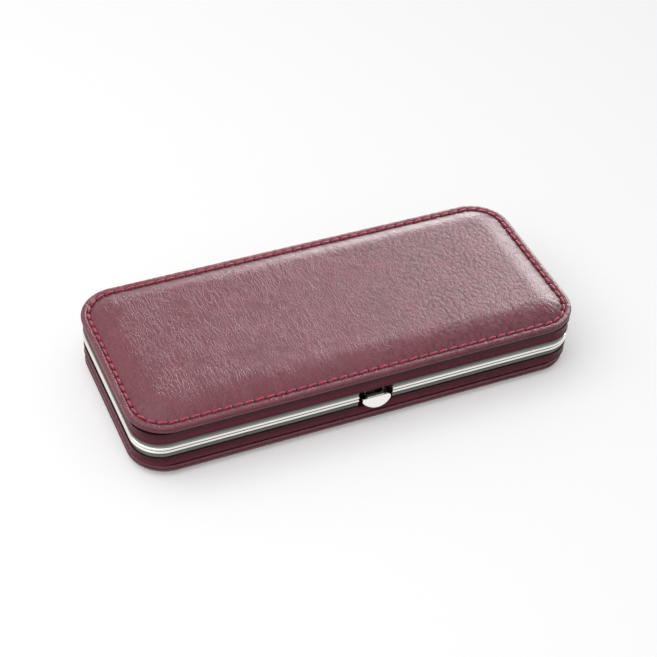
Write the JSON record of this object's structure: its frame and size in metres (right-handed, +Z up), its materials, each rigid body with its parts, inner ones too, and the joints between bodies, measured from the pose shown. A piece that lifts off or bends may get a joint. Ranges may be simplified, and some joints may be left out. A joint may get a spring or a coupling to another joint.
{
  "type": "manicure set case",
  "caption": "Frame-type manicure case: two padded leather halves on metal rims, hinged at the back, with a press clasp in front and tools held in loops inside.",
  "frame": {"origin": "centre of the resting face under the lower cover", "axes": "+X along the case's length, +Y from the clasp to the hinge, +Z up through the lid"},
  "size_m": [0.13, 0.0595, 0.0207],
  "materials": {
    "cover_leather": "grained nappa leather, burgundy, satin",
    "wall_leather": "smooth leather over card, dark burgundy, satin",
    "thread": "twisted polyester thread, crimson",
    "foam": "closed-cell foam sheet",
    "board": "stiff fibre board",
    "rim_nickel": "nickel-plated steel, polished",
    "tray_suede": "suede-covered tray, dark burgundy",
    "board_suede": "suede over board, dark burgundy",
    "loop_leather": "thin leather strap, burgundy",
    "spring_steel": "spring steel, bare",
    "handle_plastic": "moulded handle, dark burgundy, gloss",
    "clasp_nickel": "nickel-plated, polished",
    "hardware_nickel": "nickel-plated steel, satin",
    "tool_steel": "stainless steel, satin"
  },
  "bodies": {
    "base": {"base_cover": "cover_leather", "base_stitching": "thread", "base_padding": "foam", "base_board": "board", "base_backing": "cover_leather", "base_wall": "wall_leather", "base_rim": "rim_nickel", "base_tray": "tray_suede", "base_hinge_leaf": "hardware_nickel", "base_hinge_rivets": "hardware_nickel", "hinge_pin": "hardware_nickel", "clasp_bracket": "hardware_nickel", "bracket_rivets": "hardware_nickel", "clasp_pivot_pin": "hardware_nickel", "clasp_spring": "spring_steel", "tool_board": "board_suede", "scissors_blade_left": "tool_steel", "scissors_blade_right": "tool_steel", "scissors_screw": "tool_steel", "scissors_loop": "loop_leather"},
    "lid": {"lid_cover": "cover_leather", "lid_stitching": "thread", "lid_padding": "foam", "lid_board": "board", "lid_backing": "cover_leather", "lid_wall": "wall_leather", "lid_rim": "rim_nickel", "lid_tray": "tray_suede", "lid_hinge_leaf": "hardware_nickel", "lid_hinge_rivets": "hardware_nickel", "latch_keeper": "hardware_nickel", "keeper_rivets": "hardware_nickel", "nail_file": "tool_steel", "nail_file_handle": "handle_plastic", "file_loop": "loop_leather", "tweezers_arm_fixed": "tool_steel", "tweezers_arm_free": "tool_steel", "tweezers_loop": "loop_leather", "cuticle_pusher": "tool_steel", "pusher_loop": "loop_leather"},
    "clasp": {"clasp_lever": "clasp_nickel", "clasp_tab": "clasp_nickel"}
  },
  "joints": [
    {"name": "lid_hinge", "type": "hinge", "parent": "base", "child": "lid", "pos_m": [0, 0.02885, 0.0097], "axis": [-1, 0, 0], "range_deg": [0, 165]},
    {"name": "clasp_press", "type": "hinge", "parent": "base", "child": "clasp", "pos_m": [0.00215, -0.0231, 0.0077], "axis": [1, 0, 0], "range_deg": [0, 12], "stiffness_Nm_per_rad": 0.1, "springref_deg": -5.73, "deforming": ["clasp_spring"]}
  ]
}
